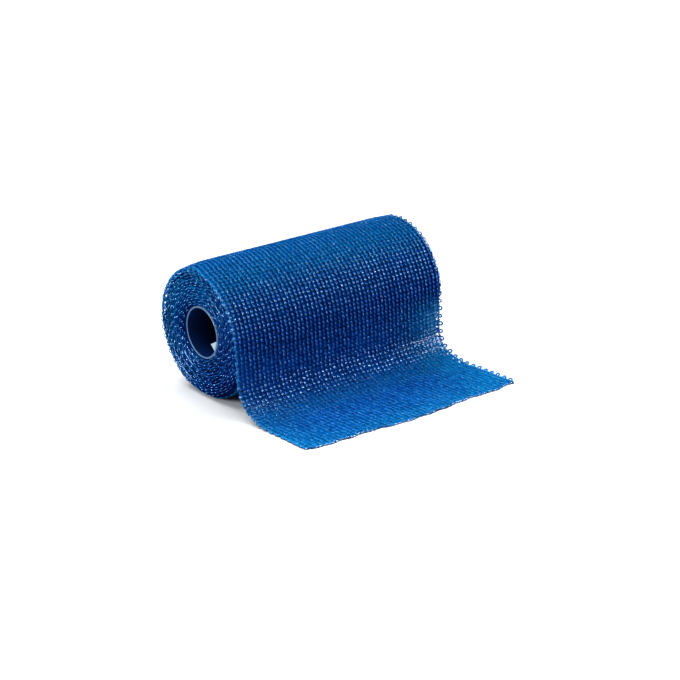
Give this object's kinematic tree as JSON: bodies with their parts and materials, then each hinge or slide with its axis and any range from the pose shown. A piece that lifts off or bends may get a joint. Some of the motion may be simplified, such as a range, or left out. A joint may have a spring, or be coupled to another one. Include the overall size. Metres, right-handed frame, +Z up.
{
  "type": "fibreglass casting tape roll",
  "caption": "Roll of blue knitted fibreglass casting tape wound on a plastic core, standing on its side with its loose end drawn out flat in front.",
  "frame": {"origin": "on the resting surface, under the middle of the core, on the roll's small flat spot", "axes": "+X along the roll from the end with the tongue in its core to the other, +Z up, loose end towards -Y"},
  "size_m": [0.1063, 0.0938, 0.0526],
  "materials": {
    "core_plastic": "smooth pale blue-grey plastic tube, satin, cut square at its rims",
    "casting_tape": "open warp-knitted glass yarn soaked in blue resin, glossy, looped selvedges"
  },
  "bodies": {
    "root": {"core": "core_plastic", "wound_roll": "casting_tape", "loose_end": "casting_tape"}
  },
  "joints": []
}
